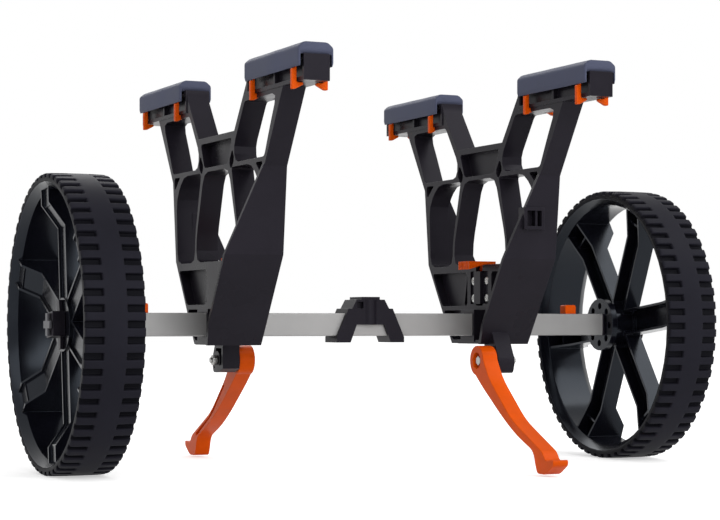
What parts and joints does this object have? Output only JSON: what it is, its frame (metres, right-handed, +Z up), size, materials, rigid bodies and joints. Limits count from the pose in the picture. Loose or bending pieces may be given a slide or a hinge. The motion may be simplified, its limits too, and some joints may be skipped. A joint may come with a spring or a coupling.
{
  "type": "kayak cart",
  "caption": "Two-wheeled kayak cart with sliding padded bunks on a square axle, quick-release wheels and folding kickstands.",
  "frame": {"origin": "on the floor under the middle of the axle, at the centre of the bounding box's bottom", "axes": "+X along the axle towards the right-hand wheel, +Y to the rear, +Z up; the picture looks from the front left, low down"},
  "size_m": [0.734, 0.516, 0.436],
  "materials": {
    "plastic": "black moulded plastic with a fine grain and a soft sheen",
    "rim_plastic": "black moulded plastic, half gloss",
    "tyre": "black moulded tyre with lugs at both edges",
    "pad": "dark slate grey foam rubber",
    "orange": "bright orange moulded plastic, satin",
    "aluminium": "brushed along its length, satin",
    "steel": "zinc plated, satin",
    "grey_plastic": "mid grey moulded plastic"
  },
  "bodies": {
    "axle": {"axle_tube": "aluminium", "centre_saddle": "plastic", "axle_plug_right": "plastic", "stub_shaft_right": "steel", "stub_end_cap_right": "grey_plastic", "button_spring_right": "steel", "axle_plug_left": "plastic", "stub_shaft_left": "steel", "stub_end_cap_left": "grey_plastic", "button_spring_left": "steel"},
    "wheel_right": {"wheel_rim_right": "rim_plastic", "tyre_right": "tyre", "hub_bush_right": "grey_plastic", "hub_block_right": "plastic"},
    "button_right": {"release_button_right": "orange"},
    "bunk_right": {"bunk_frame_right": "plastic", "pad_front_right": "pad", "pad_rear_right": "pad", "pad_clip_front_right_1": "orange", "pad_clip_front_right_2": "orange", "pad_clip_rear_right_1": "orange", "pad_clip_rear_right_2": "orange", "latch_cover_right": "plastic", "latch_spring_right": "steel", "latch_screw_right_1": "steel", "latch_screw_right_2": "steel", "latch_screw_right_3": "steel", "latch_screw_right_4": "steel", "kickstand_bolt_right": "steel", "kickstand_nut_right": "steel", "kickstand_washer_right": "steel"},
    "latch_right": {"latch_handle_right": "orange", "latch_pin_right": "steel"},
    "kickstand_right": {"kickstand_leg_right": "orange"},
    "wheel_left": {"wheel_rim_left": "rim_plastic", "tyre_left": "tyre", "hub_bush_left": "grey_plastic", "hub_block_left": "plastic"},
    "button_left": {"release_button_left": "orange"},
    "bunk_left": {"bunk_frame_left": "plastic", "pad_front_left": "pad", "pad_rear_left": "pad", "pad_clip_front_left_1": "orange", "pad_clip_front_left_2": "orange", "pad_clip_rear_left_1": "orange", "pad_clip_rear_left_2": "orange", "latch_cover_left": "plastic", "latch_spring_left": "steel", "latch_screw_left_1": "steel", "latch_screw_left_2": "steel", "latch_screw_left_3": "steel", "latch_screw_left_4": "steel", "kickstand_bolt_left": "steel", "kickstand_nut_left": "steel", "kickstand_washer_left": "steel"},
    "latch_left": {"latch_handle_left": "orange", "latch_pin_left": "steel"},
    "kickstand_left": {"kickstand_leg_left": "orange"}
  },
  "joints": [
    {"name": "wheel_spin_right", "type": "hinge", "parent": "axle", "child": "wheel_right", "pos_m": [0.336, 0, 0.159], "axis": [1, 0, 0], "continuous": true},
    {"name": "bunk_slide_right", "type": "slide", "parent": "axle", "child": "bunk_right", "axis": [1, 0, 0], "range_m": [-0.05, 0.05]},
    {"name": "latch_lift_right", "type": "slide", "parent": "bunk_right", "child": "latch_right", "axis": [0, 0, 1], "range_m": [0, 0.008], "stiffness_N_per_m": 500, "springref_m": -0.004, "deforming": ["latch_spring_right"]},
    {"name": "button_press_right", "type": "slide", "parent": "axle", "child": "button_right", "axis": [0, 0, -1], "range_m": [0, 0.005], "stiffness_N_per_m": 600, "springref_m": -0.004, "deforming": ["button_spring_right"]},
    {"name": "kickstand_fold_right", "type": "hinge", "parent": "bunk_right", "child": "kickstand_right", "pos_m": [0.1085, -0.082, 0.119], "axis": [-1, 0, 0], "range_deg": [0, 90]},
    {"name": "wheel_spin_left", "type": "hinge", "parent": "axle", "child": "wheel_left", "pos_m": [-0.336, 0, 0.159], "axis": [1, 0, 0], "continuous": true},
    {"name": "bunk_slide_left", "type": "slide", "parent": "axle", "child": "bunk_left", "axis": [1, 0, 0], "range_m": [-0.05, 0.05]},
    {"name": "latch_lift_left", "type": "slide", "parent": "bunk_left", "child": "latch_left", "axis": [0, 0, 1], "range_m": [0, 0.008], "stiffness_N_per_m": 500, "springref_m": -0.004, "deforming": ["latch_spring_left"]},
    {"name": "button_press_left", "type": "slide", "parent": "axle", "child": "button_left", "axis": [0, 0, -1], "range_m": [0, 0.005], "stiffness_N_per_m": 600, "springref_m": -0.004, "deforming": ["button_spring_left"]},
    {"name": "kickstand_fold_left", "type": "hinge", "parent": "bunk_left", "child": "kickstand_left", "pos_m": [-0.1155, 0.082, 0.119], "axis": [1, 0, 0], "range_deg": [0, 90]}
  ]
}
